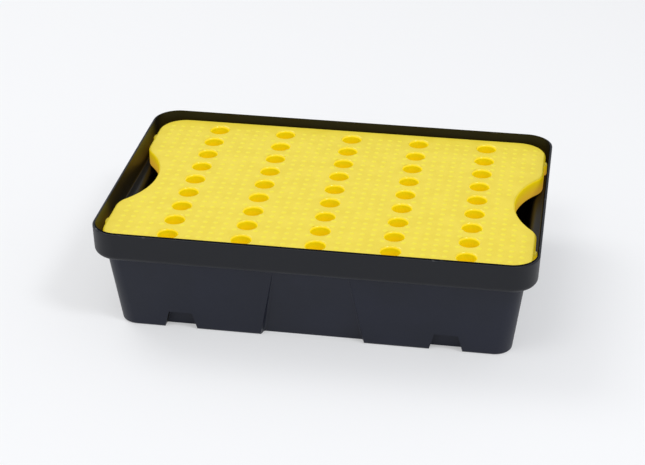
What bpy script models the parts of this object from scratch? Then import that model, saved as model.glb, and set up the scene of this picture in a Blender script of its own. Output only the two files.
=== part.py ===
"""Spill containment pallet: a one-piece sump tray and the hollow grid that drops into it.

Units are metres. +Z is up, +X runs along the long side. The origin is the centre of the tray's
underside, so the tray stands on z = 0.
"""
import math

import bmesh
import bpy

# ---- sump tray -----------------------------------------------------------------------------
LENGTH = 0.600              # over the rim, along X
WIDTH = 0.410               # over the rim, along Y
HEIGHT = 0.153              # underside to rim top
TRAY_WALL = 0.0039          # plastic thickness, the same all over
RIM_RADIUS = 0.0385         # plan radius of the rim's outer corners
BAND_HEIGHT = 0.041         # depth of the upright band round the rim
BAND_DRAFT = 0.0015         # how far the band leans in from top to bottom
BAND_FILLET = 0.008         # rounded lower edge of the band
BODY_INSET = 0.0175         # rim edge to the body wall, just under the band
WALL_DRAFT = 0.0129         # how far the body wall leans in from the band to the floor
BODY_RADIUS_TOP = 0.021     # plan radius of the body's corners under the band
BODY_RADIUS_BOTTOM = 0.025  # and at the floor
FLOOR_FILLET = 0.0028       # rounded edge between the walls and the floor, outside
INNER_FLOOR_FILLET = 0.004  # and inside
LEDGE_FILLET = 0.008        # rounded inner edge of the ledge that carries the grid

RECESS_HALF_TOP = 0.0505    # half width of the middle recess in a long wall, under the band
RECESS_HALF_BOTTOM = 0.0715  # and at the floor
RECESS_DEPTH_TOP = 0.0006
RECESS_DEPTH_BOTTOM = 0.011
RECESS_SIDE_SLOPE = 0.30    # how much the recess narrows for each unit of its depth

NOTCH_SPACING = 0.364       # between the two notches of a long wall
NOTCH_HALF_TOP = 0.0162     # half width of a notch at its top
NOTCH_HALF_BOTTOM = 0.0228  # and at the floor
NOTCH_HEIGHT = 0.026
NOTCH_DEPTH = 0.013         # into the wall, at the floor

# ---- lift-out grid -------------------------------------------------------------------------
GRID_END_CLEARANCE = 0.0061  # rim wall to grid at each end, above the ledge
GRID_SIDE_CLEARANCE = 0.0045  # rim wall to grid along each side
TOUCH_GAP = 0.0003          # left between faces that touch
GRID_THICKNESS = 0.026
GRID_RADIUS = 0.040         # plan radius of its corners
GRID_TOP_FILLET = 0.004
GRID_BOTTOM_FILLET = 0.003
GRID_SKIN = 0.003           # plastic thickness of the hollow moulding

HOLE_COLUMNS = 5
HOLE_ROWS = 9
HOLE_END_MARGIN = 0.0892    # end of the grid to the centres of the first column of holes
HOLE_SIDE_MARGIN = 0.0294   # long side to the centres of the first row
HOLES_OFF_MIDDLE = 0.0018   # the lattice of holes sits a little towards +X
HOLE_RADIUS = 0.0132        # bore of a drain tube
LIP_FILLET = 0.004          # rounded mouth of a tube in the deck

CUTOUT_DEPTH = 0.0345       # hand cut-out, in from the end of the grid
CUTOUT_RADIUS = 0.120       # its hollow middle
CUTOUT_SHOULDER = 0.033     # its rounded shoulders

END_PLAY = 0.0016           # end nubs to the rim wall, with the grid in the middle
SIDE_PLAY = 0.0008          # side nubs to the rim wall
NUB_LENGTH = 0.016
NUB_TOP_DROP = 0.003        # below the deck
NUB_HEIGHT = 0.016
NUB_ROUNDING = 0.0016       # rounded top and bottom of a nub
NUB_TIP = 0.8               # size of a nub's top and bottom, as a share of its middle
END_NUB_MARGIN = 0.0206     # from the end of a round corner to the middle of an end nub
SIDE_NUB_COLUMNS = (0, 2, 4)  # hole columns that a side nub lines up with
VENT_RADIUS = 0.003         # moulding vent in the underside
VENT_X = 0.040
VENT_Y = 0.030

# ---- how round things are divided -----------------------------------------------------------
CORNER_STEPS = 8
FILLET_STEPS = 3
LIP_STEPS = 2
HOLE_SIDES = 10
NUB_SIDES = 12
CUT_MARGIN = 0.005          # how far a cutter runs past the surface it cuts

BODY_TOP = HEIGHT - BAND_HEIGHT
LEDGE_TOP = BODY_TOP + TRAY_WALL
GRID_BOTTOM = LEDGE_TOP + TOUCH_GAP
DECK_TOP = GRID_BOTTOM + GRID_THICKNESS
GRID_HALF_LENGTH = LENGTH / 2 - TRAY_WALL - GRID_END_CLEARANCE
GRID_HALF_WIDTH = WIDTH / 2 - TRAY_WALL - GRID_SIDE_CLEARANCE
GRID_SHIFT = END_PLAY - TOUCH_GAP  # the loose grid lies against the +X end of the rim
COLUMN_PITCH = 2 * (GRID_HALF_LENGTH - HOLE_END_MARGIN) / (HOLE_COLUMNS - 1)
ROW_PITCH = 2 * (GRID_HALF_WIDTH - HOLE_SIDE_MARGIN) / (HOLE_ROWS - 1)


def band_inset(z):
    """Lean of the band's outer face at height z."""
    return BAND_DRAFT * (HEIGHT - z) / BAND_HEIGHT


def clear_scene():
    for obj in list(bpy.context.scene.objects):
        bpy.data.objects.remove(obj, do_unlink=True)


def plastic(name, colour, roughness):
    material = bpy.data.materials.new(name)
    material.use_nodes = True
    shader = material.node_tree.nodes["Principled BSDF"]
    shader.inputs["Base Color"].default_value = (*colour, 1.0)
    shader.inputs["Roughness"].default_value = roughness
    shader.inputs["Metallic"].default_value = 0.0
    return material


def add_object(name, mesh, material=None):
    obj = bpy.data.objects.new(name, mesh)
    bpy.context.scene.collection.objects.link(obj)
    if material:
        mesh.materials.append(material)
    else:
        obj.hide_render = True
        obj.display_type = "WIRE"
    return obj


def mesh_from(name, bm):
    bmesh.ops.recalc_face_normals(bm, faces=bm.faces)
    mesh = bpy.data.meshes.new(name)
    bm.to_mesh(mesh)
    bm.free()
    return mesh


def stacked_loops(bm, loops):
    """One closed body from rings of points, each joined to the next, with both ends capped."""
    rings = [[bm.verts.new(point) for point in loop] for loop in loops]
    for lower, upper in zip(rings, rings[1:]):
        for i in range(len(lower)):
            j = (i + 1) % len(lower)
            bm.faces.new((lower[i], lower[j], upper[j], upper[i]))
    bm.faces.new(reversed(rings[0]))
    bm.faces.new(rings[-1])


def arc(centre, radius, start, stop, steps):
    """Points on an arc, angles in degrees."""
    points = []
    for i in range(steps + 1):
        angle = math.radians(start + (stop - start) * i / steps)
        points.append((centre[0] + radius * math.cos(angle), centre[1] + radius * math.sin(angle)))
    return points


def rounded_rectangle(half_x, half_y, radius, z):
    points = []
    for sx, sy, start in ((1, 1, 0), (-1, 1, 90), (-1, -1, 180), (1, -1, 270)):
        centre = (sx * (half_x - radius), sy * (half_y - radius))
        points += arc(centre, radius, start, start + 90, CORNER_STEPS)
    return [(x, y, z) for x, y in points]


def tray_ring(inset, radius, z):
    """A ring of the tray: the rim's outline, moved in by inset."""
    return rounded_rectangle(LENGTH / 2 - inset, WIDTH / 2 - inset, radius, z)


def fillet_profile(inset, z, radius, start, stop):
    """(inset, z) pairs round a fillet whose centre is at (inset, z)."""
    return arc((inset, z), radius, start, stop, FILLET_STEPS)


def body_inset(z):
    """Outer face of the body wall at height z."""
    return BODY_INSET + WALL_DRAFT * (BODY_TOP - z) / BODY_TOP


def body_radius(z):
    return BODY_RADIUS_TOP + (BODY_RADIUS_BOTTOM - BODY_RADIUS_TOP) * (BODY_TOP - z) / BODY_TOP


def tray_outside():
    """Outer form of the tray, from the rim down to the floor."""
    rings = [tray_ring(0, RIM_RADIUS, HEIGHT)]
    centre_z = BODY_TOP + BAND_FILLET
    lean = band_inset(centre_z)
    for inset, z in fillet_profile(lean + BAND_FILLET, centre_z, BAND_FILLET, 180, 270):
        rings.append(tray_ring(inset, RIM_RADIUS - inset, z))
    rings.append(tray_ring(BODY_INSET, BODY_RADIUS_TOP, BODY_TOP))
    foot = body_inset(FLOOR_FILLET)
    for inset, z in fillet_profile(foot + FLOOR_FILLET, FLOOR_FILLET, FLOOR_FILLET, 180, 270):
        rings.append(tray_ring(inset, body_radius(z) + foot - inset, z))
    return rings


def tray_inside():
    """The hollow of the tray, from above the rim down to the inner floor."""
    above = HEIGHT + CUT_MARGIN
    rings = [tray_ring(TRAY_WALL, RIM_RADIUS - TRAY_WALL, above),
             tray_ring(TRAY_WALL, RIM_RADIUS - TRAY_WALL, HEIGHT)]
    seat = band_inset(LEDGE_TOP) + TRAY_WALL
    rings.append(tray_ring(seat, RIM_RADIUS - seat, LEDGE_TOP))
    wall_top = LEDGE_TOP - LEDGE_FILLET
    wall = body_inset(wall_top) + TRAY_WALL
    for inset, z in fillet_profile(wall - LEDGE_FILLET, wall_top, LEDGE_FILLET, 90, 0):
        rings.append(tray_ring(inset, body_radius(wall_top) - TRAY_WALL + wall - inset, z))
    foot_z = TRAY_WALL + INNER_FLOOR_FILLET
    foot = body_inset(foot_z) + TRAY_WALL
    for inset, z in fillet_profile(foot + INNER_FLOOR_FILLET, foot_z, INNER_FLOOR_FILLET, 180, 270):
        rings.append(tray_ring(inset, body_radius(z) - TRAY_WALL + foot - inset, z))
    return rings


def wall_block(bm, side, middle, levels):
    """A block cut into a long wall. side is -1 (front) or +1 (back). levels are, from the bottom,
    (z, inner y, outer y, inner half width, outer half width), y measured out from the middle."""
    rings = []
    for z, inner, outer, half_in, half_out in levels:
        ring = [(middle - half_in, side * inner, z), (middle + half_in, side * inner, z),
                (middle + half_out, side * outer, z), (middle - half_out, side * outer, z)]
        rings.append(ring)
    stacked_loops(bm, rings)


def recess_block(bm, side, grow):
    """The middle recess of a long wall; grow moves its faces in by a wall's thickness."""
    top = LEDGE_TOP - LEDGE_FILLET if grow else BODY_TOP - TOUCH_GAP
    levels = []
    for z in (-CUT_MARGIN, top):
        drop = (BODY_TOP - z) / BODY_TOP
        depth = RECESS_DEPTH_TOP + (RECESS_DEPTH_BOTTOM - RECESS_DEPTH_TOP) * drop
        half = RECESS_HALF_TOP + (RECESS_HALF_BOTTOM - RECESS_HALF_TOP) * drop
        face = WIDTH / 2 - body_inset(z)
        inner = face - depth - grow
        outer = face + CUT_MARGIN
        half_in = half - RECESS_SIDE_SLOPE * depth + grow
        half_out = half + RECESS_SIDE_SLOPE * CUT_MARGIN + grow
        levels.append((z, inner, outer, half_in, half_out))
    wall_block(bm, side, 0.0, levels)


def notch_block(bm, side, middle, grow):
    """A notch in the bottom edge of a long wall."""
    top = NOTCH_HEIGHT + grow
    spread = (NOTCH_HALF_BOTTOM - NOTCH_HALF_TOP) / NOTCH_HEIGHT
    inner = WIDTH / 2 - body_inset(0) - NOTCH_DEPTH - grow
    outer = WIDTH / 2 - body_inset(top) + CUT_MARGIN
    levels = []
    for z in (-CUT_MARGIN, top):
        half = NOTCH_HALF_BOTTOM - spread * z + grow
        levels.append((z, inner, outer, half, half))
    wall_block(bm, side, middle, levels)


def wall_cutter(name, build, grow):
    """All blocks of one kind, on both long walls, as one cutter."""
    bm = bmesh.new()
    for side in (-1, 1):
        build(bm, side, grow)
    return add_object(name, mesh_from(name, bm))


def notch_pair(bm, side, grow):
    for middle in (-NOTCH_SPACING / 2, NOTCH_SPACING / 2):
        notch_block(bm, side, middle, grow)


def boolean(target, operation, tool):
    modifier = target.modifiers.new(f"{operation.lower()} {tool.name}", "BOOLEAN")
    modifier.operation = operation
    modifier.object = tool


def build_tray(material):
    bm = bmesh.new()
    stacked_loops(bm, tray_outside())
    tray = add_object("sump_tray", mesh_from("sump_tray", bm), material)
    bm = bmesh.new()
    stacked_loops(bm, tray_inside())
    hollow = add_object("tray hollow", mesh_from("tray hollow", bm))
    for name, build in (("recess", recess_block), ("notches", notch_pair)):
        boolean(tray, "DIFFERENCE", wall_cutter(f"{name} outside", build, 0.0))
        boolean(hollow, "DIFFERENCE", wall_cutter(f"{name} inside", build, TRAY_WALL))
    boolean(tray, "DIFFERENCE", hollow)
    return tray


def grid_outline(offset):
    """The grid's plan outline, moved in by offset: straight sides, round corners, and a hand
    cut-out in each end made of three arcs that run smoothly into each other."""
    half_x, half_y = GRID_HALF_LENGTH, GRID_HALF_WIDTH
    reach = CUTOUT_RADIUS + CUTOUT_SHOULDER
    turn = math.degrees(math.acos(1 - CUTOUT_DEPTH / reach))
    mouth = reach * math.sin(math.radians(turn))
    corner = GRID_RADIUS - offset
    shoulder = CUTOUT_SHOULDER - offset
    hollow = CUTOUT_RADIUS + offset
    shoulder_x = half_x - CUTOUT_SHOULDER
    hollow_x = half_x - CUTOUT_DEPTH + CUTOUT_RADIUS
    end = arc((shoulder_x, -mouth), shoulder, 0, turn, CORNER_STEPS // 2)
    end += arc((hollow_x, 0), hollow, 180 + turn, 180 - turn, CORNER_STEPS)[1:-1]
    end += arc((shoulder_x, mouth), shoulder, -turn, 0, CORNER_STEPS // 2)
    corner_centre = (half_x - GRID_RADIUS, half_y - GRID_RADIUS)
    right = arc((corner_centre[0], -corner_centre[1]), corner, 270, 360, CORNER_STEPS)
    right += end
    right += arc(corner_centre, corner, 0, 90, CORNER_STEPS)
    left = [(-x, -y) for x, y in right]
    return right + left


def grid_rings(offset, bottom, top, bottom_fillet, top_fillet):
    """Rings of the grid's outline from bottom to top, with rounded edges."""
    def ring(inset, z):
        return [(x + GRID_SHIFT, y, z) for x, y in grid_outline(offset + inset)]
    rings = []
    for inset, z in arc((bottom_fillet, bottom + bottom_fillet), bottom_fillet, 270, 180, FILLET_STEPS):
        rings.append(ring(inset, z))
    for inset, z in arc((top_fillet, top - top_fillet), top_fillet, 180, 90, FILLET_STEPS):
        rings.append(ring(inset, z))
    return rings


def column_x(column):
    return (column - (HOLE_COLUMNS - 1) / 2) * COLUMN_PITCH + GRID_SHIFT + HOLES_OFF_MIDDLE


def row_y(row):
    return (row - (HOLE_ROWS - 1) / 2) * ROW_PITCH


def hole_centres():
    for column in range(HOLE_COLUMNS):
        for row in range(HOLE_ROWS):
            yield column_x(column), row_y(row)


def divide_between_holes(bm):
    """Split the flat faces midway between the holes, so that each field holds one hole."""
    cuts = [((column_x(column + 0.5), 0, 0), (1, 0, 0)) for column in range(HOLE_COLUMNS - 1)]
    cuts += [((0, row_y(row + 0.5), 0), (0, 1, 0)) for row in range(HOLE_ROWS - 1)]
    for point, normal in cuts:
        everything = bm.verts[:] + bm.edges[:] + bm.faces[:]
        bmesh.ops.bisect_plane(bm, geom=everything, plane_co=point, plane_no=normal)


def turned(bm, centre, profile):
    """A closed turned body: profile is (radius, z) pairs from bottom to top."""
    loops = []
    for radius, z in profile:
        loop = []
        for i in range(HOLE_SIDES):
            angle = 2 * math.pi * (i + 0.5) / HOLE_SIDES
            loop.append((centre[0] + radius * math.cos(angle), centre[1] + radius * math.sin(angle), z))
        loops.append(loop)
    stacked_loops(bm, loops)


def drain_bores():
    """The bores of all drain tubes, with their rounded mouths."""
    mouth = HOLE_RADIUS + LIP_FILLET
    profile = [(HOLE_RADIUS, GRID_BOTTOM - CUT_MARGIN)]
    profile += arc((mouth, DECK_TOP - LIP_FILLET), LIP_FILLET, 180, 90, LIP_STEPS)
    profile.append((mouth, DECK_TOP + CUT_MARGIN))
    bm = bmesh.new()
    for centre in hole_centres():
        turned(bm, centre, profile)
    return add_object("drain bores", mesh_from("drain bores", bm))


def drain_tubes():
    """Outer faces of the drain tubes, where they cross the grid's hollow."""
    radius = HOLE_RADIUS + GRID_SKIN
    bm = bmesh.new()
    for centre in hole_centres():
        turned(bm, centre, [(radius, GRID_BOTTOM), (radius, DECK_TOP)])
    return add_object("drain tubes", mesh_from("drain tubes", bm))


def nub(bm, centre, half_x, half_y):
    """A locating nub: an oval stub whose inner half is buried in the grid's edge wall."""
    loops = []
    top = DECK_TOP - NUB_TOP_DROP
    bottom = top - NUB_HEIGHT
    levels = ((bottom, NUB_TIP), (bottom + NUB_ROUNDING, 1.0), (top - NUB_ROUNDING, 1.0), (top, NUB_TIP))
    for z, scale in levels:
        loop = []
        for i in range(NUB_SIDES):
            angle = 2 * math.pi * i / NUB_SIDES
            loop.append((centre[0] + half_x * scale * math.cos(angle),
                         centre[1] + half_y * scale * math.sin(angle), z))
        loops.append(loop)
    stacked_loops(bm, loops)


def grid_nubs():
    """Nubs on the ends and the long sides, as deep as the play to the leaning rim wall lets them be."""
    bm = bmesh.new()
    lean = band_inset(DECK_TOP - NUB_TOP_DROP - NUB_HEIGHT)
    end_reach = GRID_END_CLEARANCE - lean - END_PLAY
    side_reach = GRID_SIDE_CLEARANCE - lean - SIDE_PLAY
    end_y = GRID_HALF_WIDTH - GRID_RADIUS - END_NUB_MARGIN
    for side in (-1, 1):
        for end in (-1, 1):
            nub(bm, (side * GRID_HALF_LENGTH + GRID_SHIFT, end * end_y), end_reach, NUB_LENGTH / 2)
        for column in SIDE_NUB_COLUMNS:
            nub(bm, (column_x(column), side * GRID_HALF_WIDTH), NUB_LENGTH / 2, side_reach)
    return add_object("grid nubs", mesh_from("grid nubs", bm))


def build_grid(material):
    bm = bmesh.new()
    stacked_loops(bm, grid_rings(0.0, GRID_BOTTOM, DECK_TOP, GRID_BOTTOM_FILLET, GRID_TOP_FILLET))
    divide_between_holes(bm)
    grid = add_object("lift_out_grid", mesh_from("lift_out_grid", bm), material)
    boolean(grid, "UNION", grid_nubs())
    bm = bmesh.new()
    inner_fillet = GRID_TOP_FILLET - GRID_SKIN
    stacked_loops(bm, grid_rings(GRID_SKIN, GRID_BOTTOM + GRID_SKIN, DECK_TOP - GRID_SKIN,
                                 GRID_BOTTOM_FILLET / 2, inner_fillet))
    divide_between_holes(bm)
    hollow = add_object("grid hollow", mesh_from("grid hollow", bm))
    boolean(hollow, "DIFFERENCE", drain_tubes())
    boolean(grid, "DIFFERENCE", hollow)
    boolean(grid, "DIFFERENCE", drain_bores())
    bm = bmesh.new()
    turned(bm, (VENT_X + GRID_SHIFT, VENT_Y),
           [(VENT_RADIUS, GRID_BOTTOM - CUT_MARGIN), (VENT_RADIUS, GRID_BOTTOM + 2 * GRID_SKIN)])
    boolean(grid, "DIFFERENCE", add_object("vent", mesh_from("vent", bm)))
    return grid


def main():
    clear_scene()
    black = plastic("black polyethylene", (0.022, 0.024, 0.028), 0.45)
    yellow = plastic("yellow polyethylene", (0.82, 0.60, 0.06), 0.42)
    build_tray(black)
    build_grid(yellow)


main()
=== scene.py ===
"""Spill containment pallet: the moulded surfaces of the black sump tray and of the yellow grid in it.

Units are metres. +Z is up and +X runs along the long side, as in the CAD model.
"""
import math

import bmesh
import bpy
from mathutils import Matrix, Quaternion, Vector


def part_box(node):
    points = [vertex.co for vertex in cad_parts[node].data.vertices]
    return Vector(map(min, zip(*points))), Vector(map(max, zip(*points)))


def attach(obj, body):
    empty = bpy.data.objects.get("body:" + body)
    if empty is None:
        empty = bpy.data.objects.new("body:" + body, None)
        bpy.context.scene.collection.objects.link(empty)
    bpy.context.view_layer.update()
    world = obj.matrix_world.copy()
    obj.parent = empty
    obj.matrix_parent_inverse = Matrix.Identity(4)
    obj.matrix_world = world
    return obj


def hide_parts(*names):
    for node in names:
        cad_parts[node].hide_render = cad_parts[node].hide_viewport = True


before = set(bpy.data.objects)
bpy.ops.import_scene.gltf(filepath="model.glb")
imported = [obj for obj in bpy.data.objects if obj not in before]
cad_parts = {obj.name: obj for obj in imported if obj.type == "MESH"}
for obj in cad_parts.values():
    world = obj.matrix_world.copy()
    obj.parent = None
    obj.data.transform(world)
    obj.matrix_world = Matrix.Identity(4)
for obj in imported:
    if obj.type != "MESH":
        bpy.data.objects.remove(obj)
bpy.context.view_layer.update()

TRAY_LOW, TRAY_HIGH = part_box("sump_tray")
GRID_LOW, GRID_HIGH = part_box("lift_out_grid")
MM = 0.001

# ---- sump tray -----------------------------------------------------------------------------
TRAY_HALF_X = (TRAY_HIGH.x - TRAY_LOW.x) / 2
TRAY_HALF_Y = (TRAY_HIGH.y - TRAY_LOW.y) / 2
RIM_TOP = TRAY_HIGH.z
TRAY_WALL = 3.9 * MM
RIM_RADIUS = 38.5 * MM          # plan radius of the rim's outer corners
RIM_EDGE = 1.3 * MM             # rounded top edges of the rim
BAND_HEIGHT = 41.0 * MM         # upright band round the rim
BAND_DRAFT = 1.5 * MM           # how far the band leans in from top to bottom
BAND_FILLET = 8.0 * MM          # rounded lower edge of the band
BODY_INSET = 17.5 * MM          # rim edge to the body wall, under the band
WALL_DRAFT = 12.9 * MM          # how far the body wall leans in from the band to the foot
BODY_RADIUS_TOP = 21.0 * MM     # plan radius of the body's corners under the band
BODY_RADIUS_FOOT = 25.0 * MM    # and at the foot
FOOT_FILLET = 2.8 * MM          # rounded edge between walls and floor, outside
INNER_FOOT_FILLET = 4.0 * MM    # and inside
SHELF_FILLET = 8.0 * MM         # rounded inner edge of the ledge that carries the grid
SHELF_CORNER = 1.6 * MM         # where the ledge meets the inside of the rim
UNDER_BAND_FILLET = 2.0 * MM    # between the body wall and the band above it
BODY_TOP = RIM_TOP - BAND_HEIGHT
SHELF_TOP = BODY_TOP + TRAY_WALL

RECESS_HALF_TOP = 50.5 * MM     # half width of the middle recess of a long wall
RECESS_HALF_FOOT = 71.5 * MM
RECESS_DEPTH_TOP = 0.6 * MM
RECESS_DEPTH_FOOT = 11.0 * MM
RECESS_SIDE_SLOPE = 0.30        # how much the recess narrows for each unit of its depth
RECESS_CORNER = 2.2 * MM
NOTCH_SPACING = 364.0 * MM      # between the two notches of a long wall
NOTCH_HALF_TOP = 16.2 * MM
NOTCH_HALF_FOOT = 22.8 * MM
NOTCH_HEIGHT = 26.0 * MM
NOTCH_DEPTH = 13.0 * MM         # into the wall, at the foot
NOTCH_CORNER = 1.8 * MM

# ---- lift-out grid -------------------------------------------------------------------------
GRID_END_CLEARANCE = 6.1 * MM   # rim wall to grid at each end
GRID_SIDE_CLEARANCE = 4.5 * MM  # and along each side
GRID_SHIFT = (GRID_LOW.x + GRID_HIGH.x) / 2
GRID_HALF_X = TRAY_HALF_X - TRAY_WALL - GRID_END_CLEARANCE
GRID_HALF_Y = TRAY_HALF_Y - TRAY_WALL - GRID_SIDE_CLEARANCE
GRID_FOOT = GRID_LOW.z
DECK = GRID_HIGH.z
GRID_RADIUS = 40.0 * MM         # plan radius of its corners
DECK_FILLET = 3.6 * MM
GRID_FOOT_FILLET = 3.0 * MM
CUTOUT_DEPTH = 34.5 * MM        # hand cut-out, in from the end of the grid
CUTOUT_RADIUS = 120.0 * MM      # its hollow middle
CUTOUT_SHOULDER = 33.0 * MM     # its rounded shoulders

HOLE_COLUMNS = 5
HOLE_ROWS = 9
HOLE_END_MARGIN = 89.2 * MM     # end of the grid to the middles of the first column of holes
HOLE_SIDE_MARGIN = 29.4 * MM    # long side to the middles of the first row
HOLES_OFF_MIDDLE = 1.8 * MM     # the holes sit a little towards +X
HOLE_RADIUS = 13.2 * MM
LIP_FILLET = 4.0 * MM           # rounded mouth of a drain hole
COLUMN_PITCH = 2 * (GRID_HALF_X - HOLE_END_MARGIN) / (HOLE_COLUMNS - 1)
ROW_PITCH = 2 * (GRID_HALF_Y - HOLE_SIDE_MARGIN) / (HOLE_ROWS - 1)

NUB_LENGTH = 16.0 * MM
NUB_TOP_DROP = 3.0 * MM         # below the deck
NUB_HEIGHT = 16.0 * MM
NUB_EDGE = 1.6 * MM             # rounded top and bottom of a nub
END_NUB_MARGIN = 20.6 * MM      # from the end of a round corner to the middle of an end nub
SIDE_NUB_COLUMNS = (0, 2, 4)    # hole columns that a side nub lines up with
END_NUB_REACH = GRID_HIGH.x - GRID_SHIFT - GRID_HALF_X
SIDE_NUB_REACH = GRID_HIGH.y - GRID_HALF_Y

DOTS_PER_COLUMN = 7             # tread dots from one column of holes to the next
DOT_PITCH_X = COLUMN_PITCH / DOTS_PER_COLUMN
DOT_PITCH_Y = 14.9 * MM
DOT_ROWS_PER_SIDE = 12
DOT_HEIGHT = 0.75 * MM
DOT_SPREAD = 1.9 * MM           # radius at which a dot's bell shape is at its steepest
DOT_FOOT_RADIUS = 4.8 * MM
DOT_SINK = 0.3 * MM             # how far a dot's foot goes into the deck
DOT_CLEAR_OF_HOLE = 19.5 * MM   # from the middle of a hole
DOT_CLEAR_OF_EDGE = 11.5 * MM   # from the grid's outline

# ---- how round things are divided -----------------------------------------------------------
CORNER_SEGMENTS = 16
FILLET_SEGMENTS = 6
EDGE_SEGMENTS = 3
HOLE_SIDES = 32
DOT_SIDES = 10
DOT_RINGS = 5
CUT_MARGIN = 5.0 * MM           # how far a cutter runs past the surface it cuts
FACE_SLACK = 1.25 * MM          # how far a vertex may be from a leaning face that it belongs to
SAME_PLACE = 0.02 * MM
SMOOTH_ANGLE = math.radians(32)
DOT_SMOOTH_ANGLE = math.radians(50)


# ---- modelling steps -------------------------------------------------------------------------
def only(obj):
    """Make obj the one selected object."""
    bpy.ops.object.select_all(action="DESELECT")
    obj.select_set(True)
    bpy.context.view_layer.objects.active = obj
    return obj


def edit(obj):
    only(obj)
    bpy.ops.object.mode_set(mode="EDIT")
    bpy.ops.mesh.select_mode(type="VERT")
    bpy.ops.mesh.select_all(action="DESELECT")


def leave_edit():
    bpy.ops.object.mode_set(mode="OBJECT")


def pick(obj, kind, wanted):
    """Select the vertices, edges or faces that wanted() accepts, and nothing else."""
    bpy.ops.mesh.select_mode(type=kind)
    bpy.ops.mesh.select_all(action="DESELECT")
    bm = bmesh.from_edit_mesh(obj.data)
    things = {"VERT": bm.verts, "EDGE": bm.edges, "FACE": bm.faces}[kind]
    things.index_update()
    bm.verts.index_update()
    count = 0
    for thing in things:
        if wanted(thing):
            thing.select_set(True)
            count += 1
    bmesh.update_edit_mesh(obj.data)
    return count


def new_piece(name):
    """An empty mesh piece, open for editing."""
    bpy.ops.object.select_all(action="DESELECT")
    bpy.ops.object.add(type="MESH")
    piece = bpy.context.object
    piece.name = name
    piece.data.name = name
    edit(piece)
    return piece


def close_up(piece):
    """Make the piece's faces point outwards and leave edit mode."""
    bpy.ops.mesh.select_all(action="SELECT")
    bpy.ops.mesh.normals_make_consistent(inside=False)
    bpy.ops.mesh.select_all(action="DESELECT")
    leave_edit()
    return piece


def bevel(piece, wanted, width, segments):
    count = pick(piece, "EDGE", wanted)
    if not count:
        raise ValueError(f"no edge to round on {piece.name}")
    bpy.ops.mesh.bevel(offset=width, segments=segments, affect="EDGES", clamp_overlap=False)


def at_height(z):
    """Accepts the edges that lie level at height z."""
    return lambda edge: all(abs(v.co.z - z) < SAME_PLACE for v in edge.verts)


def section(half_x, half_y, radius, z):
    """One level outline with round corners, in the piece that is being edited."""
    bpy.ops.mesh.primitive_plane_add(size=2, location=(0, 0, z))
    bpy.ops.transform.resize(value=(half_x, half_y, 1), center_override=(0, 0, z))
    bpy.ops.mesh.bevel(offset=radius, segments=CORNER_SEGMENTS, affect="VERTICES")
    bpy.ops.mesh.delete(type="ONLY_FACE")


def beyond_outline(point, inset, radius):
    """How far a point lies outside the rim's rectangle moved in by inset, with this corner radius."""
    dx = abs(point.x) - (TRAY_HALF_X - inset - radius)
    dy = abs(point.y) - (TRAY_HALF_Y - inset - radius)
    return math.hypot(max(dx, 0), max(dy, 0)) + min(max(dx, dy), 0) - radius


def on_outline(section_sizes):
    """Accepts the edges that lie on one section, given as (inset, corner radius, height)."""
    inset, radius, z = section_sizes

    def wanted(edge):
        return at_height(z)(edge) and all(
            abs(beyond_outline(v.co, inset, radius)) < SAME_PLACE for v in edge.verts)
    return wanted


def loft(name, sections):
    """A closed body through outlines given as (inset from the rim, corner radius, height). They
    are drawn well apart, far below the object, bridged, and then brought to their heights."""
    piece = new_piece(name)
    drawn = [(inset, radius, -TRAY_HALF_X * (1 + len(sections) - level))
             for level, (inset, radius, _) in enumerate(sections)]
    for inset, radius, z in drawn:
        section(TRAY_HALF_X - inset, TRAY_HALF_Y - inset, radius, z)
        bpy.ops.mesh.select_all(action="DESELECT")
    for lower, upper in zip(drawn, drawn[1:]):
        pick(piece, "EDGE", lambda edge: on_outline(lower)(edge) or on_outline(upper)(edge))
        bpy.ops.mesh.bridge_edge_loops()
    for end in (drawn[0], drawn[-1]):
        pick(piece, "EDGE", on_outline(end))
        bpy.ops.mesh.edge_face_add()
    for (_, _, z), (_, _, height) in zip(drawn, sections):
        pick(piece, "VERT", lambda v: abs(v.co.z - z) < SAME_PLACE)
        bpy.ops.transform.translate(value=(0, 0, height - z))
    return piece


def apply_modifier(piece, kind, **settings):
    modifier = piece.modifiers.new(kind.title(), kind)
    for key, value in settings.items():
        setattr(modifier, key, value)
    only(piece)
    bpy.ops.object.modifier_apply(modifier=modifier.name)


def combine(piece, operation, tool):
    """Boolean piece with tool, which is used up."""
    apply_modifier(piece, "BOOLEAN", operation=operation, object=tool, solver="EXACT")
    bpy.data.objects.remove(tool, do_unlink=True)


def join(pieces, name):
    only(pieces[0])
    for piece in pieces:
        piece.select_set(True)
    bpy.ops.object.join()
    pieces[0].name = name
    return pieces[0]


def tidy_shading(piece):
    """Smooth across the roundings, with the flat faces left flat."""
    only(piece)
    bpy.ops.object.shade_smooth_by_angle(angle=SMOOTH_ANGLE)
    apply_modifier(piece, "WEIGHTED_NORMAL", keep_sharp=True, weight=100)


# ---- the tray --------------------------------------------------------------------------------
def body_inset(z):
    """Outer face of the body wall at height z, in from the rim."""
    return BODY_INSET + WALL_DRAFT * (BODY_TOP - z) / BODY_TOP


def body_radius(z):
    return BODY_RADIUS_TOP + (BODY_RADIUS_FOOT - BODY_RADIUS_TOP) * (BODY_TOP - z) / BODY_TOP


def tray_outside():
    foot = (body_inset(0), BODY_RADIUS_FOOT, 0)
    body_top = (BODY_INSET, BODY_RADIUS_TOP, BODY_TOP)
    band_foot = (BAND_DRAFT, RIM_RADIUS - BAND_DRAFT, BODY_TOP)
    piece = loft("tray", [foot, body_top, band_foot, (0, RIM_RADIUS, RIM_TOP)])
    bevel(piece, on_outline(foot), FOOT_FILLET, FILLET_SEGMENTS)
    bevel(piece, on_outline(body_top), UNDER_BAND_FILLET, EDGE_SEGMENTS)
    bevel(piece, on_outline(band_foot), BAND_FILLET, FILLET_SEGMENTS)
    return close_up(piece)


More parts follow.
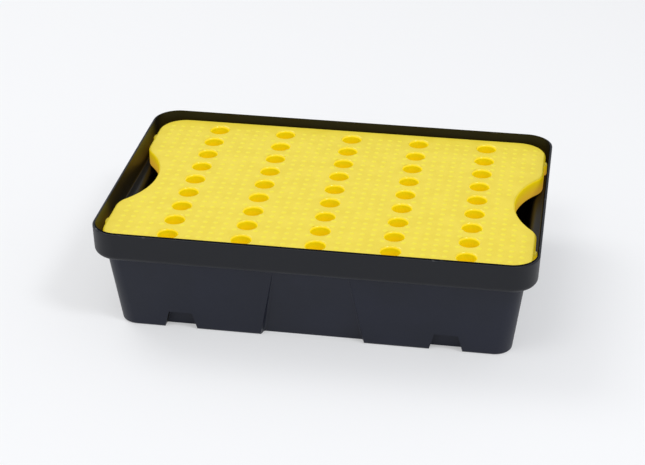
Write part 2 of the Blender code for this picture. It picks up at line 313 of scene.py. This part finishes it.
def tray_hollow():
    seat = BAND_DRAFT * (RIM_TOP - SHELF_TOP) / BAND_HEIGHT + TRAY_WALL
    wall = body_inset(SHELF_TOP) + TRAY_WALL
    foot = body_inset(TRAY_WALL) + TRAY_WALL
    floor = (foot, body_radius(TRAY_WALL) - TRAY_WALL, TRAY_WALL)
    shelf_edge = (wall, body_radius(SHELF_TOP) - TRAY_WALL, SHELF_TOP)
    shelf_corner = (seat, RIM_RADIUS - seat, SHELF_TOP)
    piece = loft("hollow", [floor, shelf_edge, shelf_corner,
                            (TRAY_WALL, RIM_RADIUS - TRAY_WALL, RIM_TOP),
                            (TRAY_WALL, RIM_RADIUS - TRAY_WALL, RIM_TOP + CUT_MARGIN)])
    bevel(piece, on_outline(floor), INNER_FOOT_FILLET, FILLET_SEGMENTS)
    bevel(piece, on_outline(shelf_edge), SHELF_FILLET, FILLET_SEGMENTS)
    bevel(piece, on_outline(shelf_corner), SHELF_CORNER, EDGE_SEGMENTS)
    return close_up(piece)


def leaning_block(name, middle, side, levels):
    """A block for cutting a long wall. levels are, from the bottom, (z, inner y, outer y, inner
    half width, outer half width)."""
    bpy.ops.object.select_all(action="DESELECT")
    bpy.ops.mesh.primitive_cube_add(size=2)
    block = bpy.context.object
    block.name = name
    edit(block)
    for sign_z, (z, inner, outer, half_in, half_out) in zip((-1, 1), levels):
        for sign_y, y, half in ((-1, inner, half_in), (1, outer, half_out)):
            pick(block, "VERT", lambda v: v.co.z * sign_z > 0.5 and v.co.y * sign_y > 0.5
                 and abs(abs(v.co.z) - 1) < SAME_PLACE and abs(abs(v.co.y) - 1) < SAME_PLACE)
            bpy.ops.transform.resize(value=(half, 1, 1), center_override=(0, 0, 0))
            bpy.ops.transform.translate(value=(middle, y - sign_y, z - sign_z))
    if side < 0:
        bpy.ops.mesh.select_all(action="SELECT")
        bpy.ops.transform.resize(value=(1, -1, 1), center_override=(0, 0, 0))
    return block


def recess_block(side, grow):
    top = SHELF_TOP - SHELF_FILLET if grow else BODY_TOP - UNDER_BAND_FILLET
    levels = []
    for z in (-CUT_MARGIN, top):
        drop = (BODY_TOP - z) / BODY_TOP
        depth = RECESS_DEPTH_TOP + (RECESS_DEPTH_FOOT - RECESS_DEPTH_TOP) * drop
        half = RECESS_HALF_TOP + (RECESS_HALF_FOOT - RECESS_HALF_TOP) * drop
        face = TRAY_HALF_Y - body_inset(z)
        levels.append((z, face - depth - grow, face + CUT_MARGIN,
                       half - RECESS_SIDE_SLOPE * depth + grow,
                       half + RECESS_SIDE_SLOPE * CUT_MARGIN + grow))
    block = leaning_block("recess", 0.0, side, levels)
    inner_y = max(level[1] for level in levels) + FACE_SLACK

    def inner_upright(edge):
        low, high = sorted(v.co.z for v in edge.verts)
        return high - low > top / 2 and all(abs(v.co.y) < inner_y for v in edge.verts)
    bevel(block, inner_upright, RECESS_CORNER, FILLET_SEGMENTS)
    return close_up(block)


def notch_block(side, middle, grow):
    top = NOTCH_HEIGHT + grow
    spread = (NOTCH_HALF_FOOT - NOTCH_HALF_TOP) / NOTCH_HEIGHT
    inner = TRAY_HALF_Y - body_inset(0) - NOTCH_DEPTH - grow
    outer = TRAY_HALF_Y - body_inset(top) + CUT_MARGIN
    levels = []
    for z in (-CUT_MARGIN, top):
        half = NOTCH_HALF_FOOT - spread * z + grow
        levels.append((z, inner, outer, half, half))
    block = leaning_block("notch", middle, side, levels)

    def inner_edges(edge):
        level_top = all(abs(v.co.z - top) < SAME_PLACE for v in edge.verts)
        inside = all(abs(abs(v.co.y) - inner) < SAME_PLACE for v in edge.verts)
        upright = abs(edge.verts[0].co.z - edge.verts[1].co.z) > top / 2
        return inside and (level_top or upright)
    bevel(block, inner_edges, NOTCH_CORNER, EDGE_SEGMENTS)
    return close_up(block)


def wall_cuts(grow):
    blocks = []
    for side in (-1, 1):
        blocks.append(recess_block(side, grow))
        for middle in (-NOTCH_SPACING / 2, NOTCH_SPACING / 2):
            blocks.append(notch_block(side, middle, grow))
    return join(blocks, "wall cuts")


def build_tray():
    tray = tray_outside()
    combine(tray, "DIFFERENCE", wall_cuts(0.0))
    hollow = tray_hollow()
    combine(hollow, "DIFFERENCE", wall_cuts(TRAY_WALL))
    combine(tray, "DIFFERENCE", hollow)
    edit(tray)
    bevel(tray, at_height(RIM_TOP), RIM_EDGE, EDGE_SEGMENTS)
    close_up(tray)
    tray.name = "tray"
    tidy_shading(tray)
    return tray


# ---- the grid --------------------------------------------------------------------------------
def column_x(column):
    return (column - (HOLE_COLUMNS - 1) / 2) * COLUMN_PITCH + GRID_SHIFT + HOLES_OFF_MIDDLE


def row_y(row):
    return (row - (HOLE_ROWS - 1) / 2) * ROW_PITCH


CUTOUT_REACH = CUTOUT_RADIUS + CUTOUT_SHOULDER
CUTOUT_TURN = math.acos(1 - CUTOUT_DEPTH / CUTOUT_REACH)
CUTOUT_MOUTH = CUTOUT_REACH * math.sin(CUTOUT_TURN)
SHOULDER_X = GRID_HALF_X - CUTOUT_SHOULDER
HOLLOW_X = GRID_HALF_X - CUTOUT_DEPTH + CUTOUT_RADIUS


def line_to(x, y):
    """Draw a straight line from the selected vertex."""
    here = selected_point()
    bpy.ops.mesh.extrude_vertices_move(TRANSFORM_OT_translate={"value": Vector((x, y, here.z)) - here})


def selected_point():
    bm = bmesh.from_edit_mesh(bpy.context.object.data)
    return next(v.co.copy() for v in bm.verts if v.select)


def arc_round(x, y, turn, steps):
    """Draw an arc from the selected vertex, anticlockwise round (x, y). Spin turns clockwise."""
    bpy.ops.mesh.spin(steps=steps, angle=-turn, center=(x, y, 0), axis=(0, 0, 1))


def grid_outline(piece):
    """The outline of the +X half of the grid, with its hand cut-out, then its turned copy."""
    bpy.ops.mesh.primitive_plane_add(size=1, location=(0, 0, 0))
    bpy.ops.mesh.merge(type="CENTER")
    corner_x, corner_y = GRID_HALF_X - GRID_RADIUS, GRID_HALF_Y - GRID_RADIUS
    bpy.ops.transform.translate(value=(0, -GRID_HALF_Y, 0))
    line_to(corner_x, -GRID_HALF_Y)
    arc_round(corner_x, -corner_y, math.pi / 2, CORNER_SEGMENTS)
    line_to(GRID_HALF_X, -CUTOUT_MOUTH)
    arc_round(SHOULDER_X, -CUTOUT_MOUTH, CUTOUT_TURN, CORNER_SEGMENTS // 2)
    arc_round(HOLLOW_X, 0, -2 * CUTOUT_TURN, 2 * CORNER_SEGMENTS)
    arc_round(SHOULDER_X, CUTOUT_MOUTH, CUTOUT_TURN, CORNER_SEGMENTS // 2)
    line_to(GRID_HALF_X, corner_y)
    arc_round(corner_x, corner_y, math.pi / 2, CORNER_SEGMENTS)
    line_to(0, GRID_HALF_Y)
    bpy.ops.mesh.select_all(action="SELECT")
    bpy.ops.mesh.duplicate()
    bpy.ops.transform.rotate(value=math.pi, orient_axis="Z", center_override=(0, 0, 0))
    bpy.ops.mesh.select_all(action="SELECT")
    bpy.ops.mesh.remove_doubles(threshold=SAME_PLACE)
    bpy.ops.transform.translate(value=(GRID_SHIFT, 0, GRID_FOOT))


def slab():
    piece = new_piece("grid")
    grid_outline(piece)
    bpy.ops.mesh.edge_face_add()
    bpy.ops.mesh.extrude_region_move(TRANSFORM_OT_translate={"value": (0, 0, DECK - GRID_FOOT)})
    bevel(piece, at_height(DECK), DECK_FILLET, FILLET_SEGMENTS)
    bevel(piece, at_height(GRID_FOOT), GRID_FOOT_FILLET, EDGE_SEGMENTS)
    divide_flat_faces(piece)
    return close_up(piece)


def divide_flat_faces(piece):
    """Cut the deck and the underside midway between the holes, so each field holds one hole."""
    cuts = [((column_x(column + 0.5), 0, 0), (1, 0, 0)) for column in range(HOLE_COLUMNS - 1)]
    cuts += [((0, row_y(row + 0.5), 0), (0, 1, 0)) for row in range(HOLE_ROWS - 1)]
    for point, normal in cuts:
        bpy.ops.mesh.select_all(action="SELECT")
        bpy.ops.mesh.bisect(plane_co=point, plane_no=normal)


def bores():
    """Straight cutters for all the drain holes."""
    piece = new_piece("bores")
    bottom, top = GRID_FOOT - CUT_MARGIN, DECK + CUT_MARGIN
    bpy.ops.mesh.primitive_cylinder_add(vertices=HOLE_SIDES, radius=HOLE_RADIUS, depth=top - bottom,
                                        location=(column_x(0), row_y(0), (top + bottom) / 2))
    spread_copies(HOLE_COLUMNS - 1, (COLUMN_PITCH, 0, 0))
    bpy.ops.mesh.select_all(action="SELECT")
    spread_copies(HOLE_ROWS - 1, (0, ROW_PITCH, 0))
    return close_up(piece)


def spread_copies(count, step):
    """Copy what is selected, each copy one step on from the last."""
    for _ in range(count):
        bpy.ops.mesh.duplicate_move(TRANSFORM_OT_translate={"value": step})


def nub(x, y, half_x, half_y):
    """A locating nub: a round stub, its edges rounded, then stretched to an oval. Its inner half
    is in the grid's edge."""
    top = DECK - NUB_TOP_DROP
    radius = min(half_x, half_y)
    piece = new_piece("nub")
    bpy.ops.mesh.primitive_cylinder_add(vertices=HOLE_SIDES, radius=radius, depth=NUB_HEIGHT,
                                        location=(0, 0, top - NUB_HEIGHT / 2),
                                        rotation=(0, 0, math.pi / HOLE_SIDES))
    bevel(piece, lambda e: at_height(top)(e) or at_height(top - NUB_HEIGHT)(e), NUB_EDGE, EDGE_SEGMENTS)
    bpy.ops.mesh.select_all(action="SELECT")
    bpy.ops.transform.resize(value=(half_x / radius, half_y / radius, 1), center_override=(0, 0, 0))
    bpy.ops.transform.translate(value=(x, y, 0))
    return close_up(piece)


def nubs():
    pieces = []
    end_y = GRID_HALF_Y - GRID_RADIUS - END_NUB_MARGIN
    for side in (-1, 1):
        for end in (-1, 1):
            pieces.append(nub(side * GRID_HALF_X + GRID_SHIFT, end * end_y, END_NUB_REACH, NUB_LENGTH / 2))
        for column in SIDE_NUB_COLUMNS:
            pieces.append(nub(column_x(column), side * GRID_HALF_Y, NUB_LENGTH / 2, SIDE_NUB_REACH))
    return join(pieces, "nubs")


def build_grid():
    grid = slab()
    combine(grid, "UNION", nubs())
    combine(grid, "DIFFERENCE", bores())
    edit(grid)

    def lip(edge):
        return at_height(DECK)(edge) and all(near_hole(v.co, HOLE_RADIUS + SAME_PLACE) for v in edge.verts)
    bevel(grid, lip, LIP_FILLET, FILLET_SEGMENTS)
    close_up(grid)
    grid.name = "grid"
    tidy_shading(grid)
    return grid


def near_hole(point, distance):
    """True if the point is closer than distance to the middle of a drain hole."""
    column = round((point[0] - column_x(0)) / COLUMN_PITCH)
    row = round((point[1] - row_y(0)) / ROW_PITCH)
    if not (0 <= column < HOLE_COLUMNS and 0 <= row < HOLE_ROWS):
        return False
    return math.hypot(point[0] - column_x(column), point[1] - row_y(row)) < distance


def clear_of_edge(x, y, margin):
    """True if (x, y), measured from the middle of the grid, is margin inside the grid's outline."""
    x, y = abs(x), abs(y)
    if x > GRID_HALF_X - margin or y > GRID_HALF_Y - margin:
        return False
    dx, dy = x - (GRID_HALF_X - GRID_RADIUS), y - (GRID_HALF_Y - GRID_RADIUS)
    if dx > 0 and dy > 0 and math.hypot(dx, dy) > GRID_RADIUS - margin:
        return False
    if math.hypot(x - HOLLOW_X, y) < CUTOUT_RADIUS + margin:
        return False
    shoulder_y = CUTOUT_MOUTH - CUTOUT_SHOULDER * math.sin(CUTOUT_TURN)
    if x > SHOULDER_X and shoulder_y < y < CUTOUT_MOUTH:
        return math.hypot(x - SHOULDER_X, y - CUTOUT_MOUTH) < CUTOUT_SHOULDER - margin
    return True


def dot_places():
    columns = int((HOLE_COLUMNS + 1) / 2 * DOTS_PER_COLUMN)
    for i in range(-columns, columns + 1):
        x = i * DOT_PITCH_X + HOLES_OFF_MIDDLE
        for k in range(-DOT_ROWS_PER_SIDE, DOT_ROWS_PER_SIDE):
            y = (k + 0.5) * DOT_PITCH_Y
            place = (x + GRID_SHIFT, y)
            if clear_of_edge(x, y, DOT_CLEAR_OF_EDGE) and not near_hole(place, DOT_CLEAR_OF_HOLE):
                yield place


def bell(radius):
    """Height of a tread dot at this distance from its middle."""
    return DOT_HEIGHT * math.exp(-(radius / DOT_SPREAD) ** 2 / 2)


def one_dot():
    """A tread dot: a disc shaped into a soft bell, with its foot sunk in the deck."""
    piece = new_piece("dot")
    foot = DECK - DOT_SINK
    bpy.ops.mesh.primitive_circle_add(vertices=DOT_SIDES, radius=DOT_FOOT_RADIUS, fill_type="NGON",
                                      location=(0, 0, foot))
    bpy.ops.mesh.extrude_region_move(TRANSFORM_OT_translate={"value": (0, 0, DOT_SINK)})
    radius, height = DOT_FOOT_RADIUS, DECK
    for ring in range(DOT_RINGS - 1, 0, -1):
        smaller = DOT_FOOT_RADIUS * ring / DOT_RINGS
        higher = DECK + bell(smaller)
        bpy.ops.mesh.extrude_region_move(TRANSFORM_OT_translate={"value": (0, 0, higher - height)})
        scale = smaller / radius
        bpy.ops.transform.resize(value=(scale, scale, 1), center_override=(0, 0, higher))
        radius, height = smaller, higher
    bpy.ops.mesh.poke(offset=DECK + DOT_HEIGHT - height)
    return close_up(piece)


def build_tread():
    """All the tread dots as one piece: copies of one dot."""
    dot = one_dot()
    bm = bmesh.new()
    for x, y in dot_places():
        before = len(bm.verts)
        bm.from_mesh(dot.data)
        bm.verts.ensure_lookup_table()
        bmesh.ops.translate(bm, verts=bm.verts[before:], vec=(x, y, 0))
    bm.to_mesh(dot.data)
    bm.free()
    dot.name = "tread_dots"
    only(dot)
    bpy.ops.object.shade_smooth_by_angle(angle=DOT_SMOOTH_ANGLE)
    return dot


# ---- surfaces --------------------------------------------------------------------------------
class Number:
    """A number socket of a shader that can be used in sums."""

    def __init__(self, surface, socket):
        self.surface = surface
        self.socket = socket

    def math(self, operation, *values):
        node = self.surface.node("ShaderNodeMath", {"operation": operation}, dict(enumerate(values)))
        return Number(self.surface, node.outputs[0])

    def unsigned(self):
        """The number without its sign."""
        return self.math("ABSOLUTE", self)

    def __add__(self, other):
        return self.math("ADD", self, other)

    def __radd__(self, other):
        return self.math("ADD", other, self)

    def __sub__(self, other):
        return self.math("SUBTRACT", self, other)

    def __rsub__(self, other):
        return self.math("SUBTRACT", other, self)

    def __mul__(self, other):
        return self.math("MULTIPLY", self, other)

    def __rmul__(self, other):
        return self.math("MULTIPLY", other, self)

    def __truediv__(self, other):
        return self.math("DIVIDE", self, other)

    def __pow__(self, other):
        return self.math("POWER", self, other)

    def least(self, other):
        return self.math("MINIMUM", self, other)

    def most(self, other):
        return self.math("MAXIMUM", self, other)

    def between(self, low, high):
        """0 at low, 1 at high, smooth on the way."""
        node = self.surface.node("ShaderNodeMapRange", {"interpolation_type": "SMOOTHSTEP"},
                                 {"Value": self, "From Min": low, "From Max": high})
        return Number(self.surface, node.outputs["Result"])


class Surface:
    """A material and the nodes that make it."""

    def __init__(self, name, colour, roughness):
        self.material = bpy.data.materials.new(name)
        self.material.use_nodes = True
        self.nodes = self.material.node_tree.nodes
        self.links = self.material.node_tree.links
        self.shader = self.nodes["Principled BSDF"]
        self.shader.inputs["Base Color"].default_value = (*colour, 1)
        self.shader.inputs["Roughness"].default_value = roughness
        self.place = self.node("ShaderNodeTexCoord").outputs["Object"]

    def node(self, kind, settings=None, inputs=None):
        node = self.nodes.new(kind)
        for key, value in (settings or {}).items():
            setattr(node, key, value)
        for key, value in (inputs or {}).items():
            self.feed(node.inputs[key], value)
        return node

    def feed(self, socket, value):
        if isinstance(value, Number):
            value = value.socket
        if isinstance(value, bpy.types.NodeSocket):
            self.links.new(value, socket)
        else:
            socket.default_value = value

    def set(self, name, value):
        self.feed(self.shader.inputs[name], value)

    def noise(self, size, detail=2.0, roughness=0.5):
        """Noise from 0 to 1 whose lumps are about size metres across."""
        node = self.node("ShaderNodeTexNoise", None, {"Vector": self.place, "Scale": 1 / size,
                                                      "Detail": detail, "Roughness": roughness})
        return Number(self, node.outputs["Fac"])

    def axis(self, letter):
        """The place on the piece along X, Y or Z, in metres."""
        node = self.node("ShaderNodeSeparateXYZ", None, {0: self.place})
        return Number(self, node.outputs[letter])

    def facing(self, letter):
        """How far the surface is turned towards +X, +Y or +Z, from -1 to 1."""
        normal = self.node("ShaderNodeNewGeometry").outputs["Normal"]
        node = self.node("ShaderNodeSeparateXYZ", None, {0: normal})
        return Number(self, node.outputs[letter])

    def from_nearest(self, letter, first, pitch, count):
        """Distance from the nearest of count lines that start at first and are pitch apart."""
        steps = (self.axis(letter) - first) / pitch
        whole = steps.math("ROUND", steps).least(count - 1).most(0)
        return (steps - whole).unsigned() * pitch

    def mix(self, amount, first, second):
        """A colour between first and second."""
        node = self.node("ShaderNodeMix", {"data_type": "RGBA"}, {"Factor": amount})
        for socket, colour in zip((node.inputs[6], node.inputs[7]), (first, second)):
            self.feed(socket, (*colour, 1) if isinstance(colour, tuple) else colour)
        return node.outputs[2]

    def bump(self, height, distance):
        """Raise the surface by height, a number from 0 to 1, times distance in metres."""
        node = self.node("ShaderNodeBump", None, {"Height": height, "Distance": distance, "Strength": 1.0})
        self.set("Normal", node.outputs["Normal"])


BLACK_BODY = ((0.0058, 0.0080, 0.0180), (0.0082, 0.0106, 0.0235))
# Painted shade: a darker, less blue black for the upright band round the rim.
BLACK_BAND_PAINTED_SHADE = (0.0035, 0.0045, 0.0080)
# Painted shade: the near-black used inside the tray, as if in its shadow.
BLACK_PAINTED_SHADE_INSIDE = (0.0030, 0.0024, 0.0018)
BLACK_WORN = (0.16, 0.16, 0.16)


def black_plastic():
    """Bluish black, with painted shade: darker on the band and darkest inside the tray, and a few rubbed
    specks on the rim.
    """
    black = Surface("black polyethylene", (0.010, 0.013, 0.020), 0.42)
    black.shader.inputs["Specular IOR Level"].default_value = 0.33
    broad = black.noise(90 * MM, 3.0)
    grain = black.noise(0.9 * MM, 2.0)
    peel = black.noise(5 * MM, 1.0)
    body = black.mix(broad.between(0.3, 0.7), *BLACK_BODY)
    # Painted shade: the band above BODY_TOP gets the darker black, standing in for the dimmer reflections
    # it shows.
    band = black.axis("Z").between(BODY_TOP - 2 * MM, BODY_TOP + 6 * MM)
    outside = black.mix(band, body, BLACK_BAND_PAINTED_SHADE)
    # Painted shade: faces turned in towards the middle, and upward faces below the rim, get the darkest
    # black as if shaded inside the tray.
    turned_in = 0 - (black.facing("X") * black.axis("X") + black.facing("Y") * black.axis("Y"))
    below_rim = 1 - black.axis("Z").between(RIM_TOP - 4 * MM, RIM_TOP - 2 * MM)
    hollow = turned_in.between(0.02, 0.08).most(below_rim * black.facing("Z").between(0.3, 0.8))
    plain = black.mix(hollow, outside, BLACK_PAINTED_SHADE_INSIDE)
    rub = black.noise(14 * MM, 6.0, 0.65)
    edge = black.axis("Z").between(RIM_TOP - 1.2 * MM, RIM_TOP - 0.2 * MM)
    worn = edge * rub.between(0.60, 0.72)
    black.set("Base Color", black.mix(worn * 0.6, plain, BLACK_WORN))
    black.set("Roughness", 0.36 + 0.14 * broad + 0.05 * grain - 0.06 * hollow)
    black.bump(grain * 0.35 + peel * 0.65, 0.12 * MM)
    return black.material


DECK_TINTS = ((0.810, 0.635, 0.042), (0.845, 0.675, 0.054))
# Painted sheen: the paler yellow of the tread dots' tops.
DOT_TOP_PAINTED_SHEEN = (0.872, 0.735, 0.045)
# Painted light: a deeper yellow for upright walls and tube mouths, and emitted glows, standing in for
# light coming through and bouncing in the plastic.
WALL_PAINTED_GLOW_TINT = (0.80, 0.60, 0.006)
TUBE_GLOW = ((0.14, 0.15, 0.0), (0.24, 0.155, 0.0))    # near the deck, and deeper down
WALL_GLOW = ((0.40, 0.29, 0.0), (0.40, 0.21, 0.02))


def yellow_plastic():
    """Satin yellow. Light coming through the thin walls is painted in: upright walls and drain tube mouths
    get a deeper yellow, and upright walls and drain tubes glow a little by emission.
    """
    yellow = Surface("yellow polyethylene", (0.80, 0.66, 0.05), 0.45)
    yellow.shader.inputs["Specular IOR Level"].default_value = 0.4
    broad = yellow.noise(28 * MM, 4.0)
    grain = yellow.noise(0.8 * MM, 2.0)
    peel = yellow.noise(4 * MM, 1.5)
    tint = yellow.mix(broad.between(0.35, 0.65), *DECK_TINTS)
    across = yellow.from_nearest("X", column_x(0), COLUMN_PITCH, HOLE_COLUMNS)
    along = yellow.from_nearest("Y", row_y(0), ROW_PITCH, HOLE_ROWS)
    from_middle = (across * across + along * along) ** 0.5
    tube = 1 - from_middle.between(HOLE_RADIUS + LIP_FILLET, HOLE_RADIUS + LIP_FILLET + 1 * MM)
    depth = DECK - yellow.axis("Z")
    lip = tube * depth.between(0.1 * MM, 0.6 * MM)
    # Painted glow: the mouth of each drain tube, where the deeper yellow and the tube glow are painted.
    mouth = tube * depth.between(1.6 * MM, 4.2 * MM) * yellow.facing("Z").between(-0.8, -0.3)
    deep = tube * depth.between(4.0 * MM, 12.0 * MM)
    upright = 1 - yellow.facing("Z").unsigned().between(0.35, 0.98)
    tube_glow = yellow.mix(deep, *TUBE_GLOW)
    wall_glow = yellow.mix(depth.between(2 * MM, 20 * MM), *WALL_GLOW)
    glow = yellow.mix(upright, (0, 0, 0), wall_glow)
    # Painted glow by emission, and the painted deeper yellow on upright walls and tube mouths.
    yellow.set("Emission Color", yellow.mix(mouth, glow, tube_glow))
    yellow.shader.inputs["Emission Strength"].default_value = 1.0
    yellow.set("Base Color", yellow.mix(upright.most(mouth), tint, WALL_PAINTED_GLOW_TINT))
    yellow.set("Roughness", 0.38 + 0.12 * broad + 0.06 * grain - 0.24 * lip)
    yellow.bump(grain * 0.3 + peel * 0.7, 0.16 * MM)
    return yellow.material


def dot_plastic():
    """The yellow of the tread dots, with a painted sheen: their tops are paler and livelier than the deck
    between them.
    """
    dots = Surface("yellow polyethylene with painted dot sheen", (0.82, 0.68, 0.05), 0.45)
    dots.shader.inputs["Specular IOR Level"].default_value = 0.4
    broad = dots.noise(28 * MM, 4.0)
    grain = dots.noise(0.8 * MM, 2.0)
    tint = dots.mix(broad.between(0.35, 0.65), *DECK_TINTS)
    # Painted sheen: the upper part of each dot gets the paler yellow.
    top = dots.axis("Z").between(DECK + 0.03 * DOT_HEIGHT, DECK + 0.32 * DOT_HEIGHT)
    dots.set("Base Color", dots.mix(top, tint, DOT_TOP_PAINTED_SHEEN))
    dots.set("Roughness", 0.38 + 0.12 * broad + 0.06 * grain)
    dots.bump(grain, 0.05 * MM)
    return dots.material


def finish_with(piece, material):
    piece.data.materials.clear()
    piece.data.materials.append(material)


# ---- studio ----------------------------------------------------------------------------------
CAMERA_LENS = 97.25
CAMERA_AIM = Vector((0.0102, -0.1510, RIM_TOP))
CAMERA_DISTANCE = 2.3167
CAMERA_AZIMUTH = math.radians(9.116)
CAMERA_ELEVATION = math.radians(28.215)
CAMERA_ROLL = math.radians(0.154)
SENSOR_WIDTH = 36
VIEW_DEPTH = 100
FLOOR_HALF = 8.0
LIGHT_DISTANCE = 4.0


def place_camera():
    back = Vector((math.sin(CAMERA_AZIMUTH) * math.cos(CAMERA_ELEVATION),
                   -math.cos(CAMERA_AZIMUTH) * math.cos(CAMERA_ELEVATION), math.sin(CAMERA_ELEVATION)))
    data = bpy.data.cameras.new("camera")
    data.lens = CAMERA_LENS
    data.sensor_width = SENSOR_WIDTH
    camera = bpy.data.objects.new("camera", data)
    bpy.context.scene.collection.objects.link(camera)
    camera.location = CAMERA_AIM + back * CAMERA_DISTANCE
    camera.rotation_mode = "QUATERNION"
    camera.rotation_quaternion = back.to_track_quat("Z", "Y") @ Quaternion((0, 0, 1), CAMERA_ROLL)
    data.clip_end = VIEW_DEPTH
    bpy.context.scene.camera = camera


def soft_light(name, azimuth, elevation, size, share, colour=(1, 1, 1)):
    """A square light aimed at the object. Azimuth 0 is in front and 90 to the right, in degrees;
    share is how bright it makes a white face turned to it, where 1 is pure white."""
    a, e = math.radians(azimuth), math.radians(elevation)
    towards = Vector((math.sin(a) * math.cos(e), -math.cos(a) * math.cos(e), math.sin(e)))
    data = bpy.data.lights.new(name, "AREA")
    data.shape = "SQUARE"
    data.size = size
    data.energy = share * (math.pi * LIGHT_DISTANCE) ** 2
    data.color = colour
    light = bpy.data.objects.new(name, data)
    bpy.context.scene.collection.objects.link(light)
    light.location = towards * LIGHT_DISTANCE
    light.rotation_mode = "QUATERNION"
    light.rotation_quaternion = towards.to_track_quat("Z", "Y")


def build_studio():
    floor = new_piece("floor")
    bpy.ops.mesh.primitive_plane_add(size=2 * FLOOR_HALF, location=(0, 0, 0))
    leave_edit()
    paper = Surface("pale floor", (0.55, 0.55, 0.55), 0.9)
    paper.shader.inputs["Emission Color"].default_value = (0.36, 0.36, 0.36, 1)
    paper.shader.inputs["Emission Strength"].default_value = 1.0
    paper.shader.inputs["Specular IOR Level"].default_value = 0.1
    finish_with(floor, paper.material)
    world = bpy.data.worlds.new("studio")
    world.use_nodes = True
    background = world.node_tree.nodes["Background"]
    background.inputs["Color"].default_value = (0.96, 0.98, 1.03, 1)
    background.inputs["Strength"].default_value = 0.62
    bpy.context.scene.world = world
    soft_light("key", -120, 52, 1.8, 0.225)
    soft_light("top", -22, 62, 1.3, 0.13)
    soft_light("right", 52, 54, 0.8, 0.25, (0.96, 0.99, 1.04))
    bpy.context.scene.view_settings.view_transform = "Standard"


def main():
    place_camera()
    tray = build_tray()
    grid = build_grid()
    tread = build_tread()
    finish_with(tray, black_plastic())
    finish_with(grid, yellow_plastic())
    finish_with(tread, dot_plastic())
    build_studio()
    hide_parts("sump_tray")
    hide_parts("lift_out_grid")
    for piece, body, slot in ((tray, "tray", "black_polyethylene"),
                              (grid, "grid", "yellow_polyethylene"),
                              (tread, "grid", "yellow_polyethylene")):
        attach(piece, body)


main()
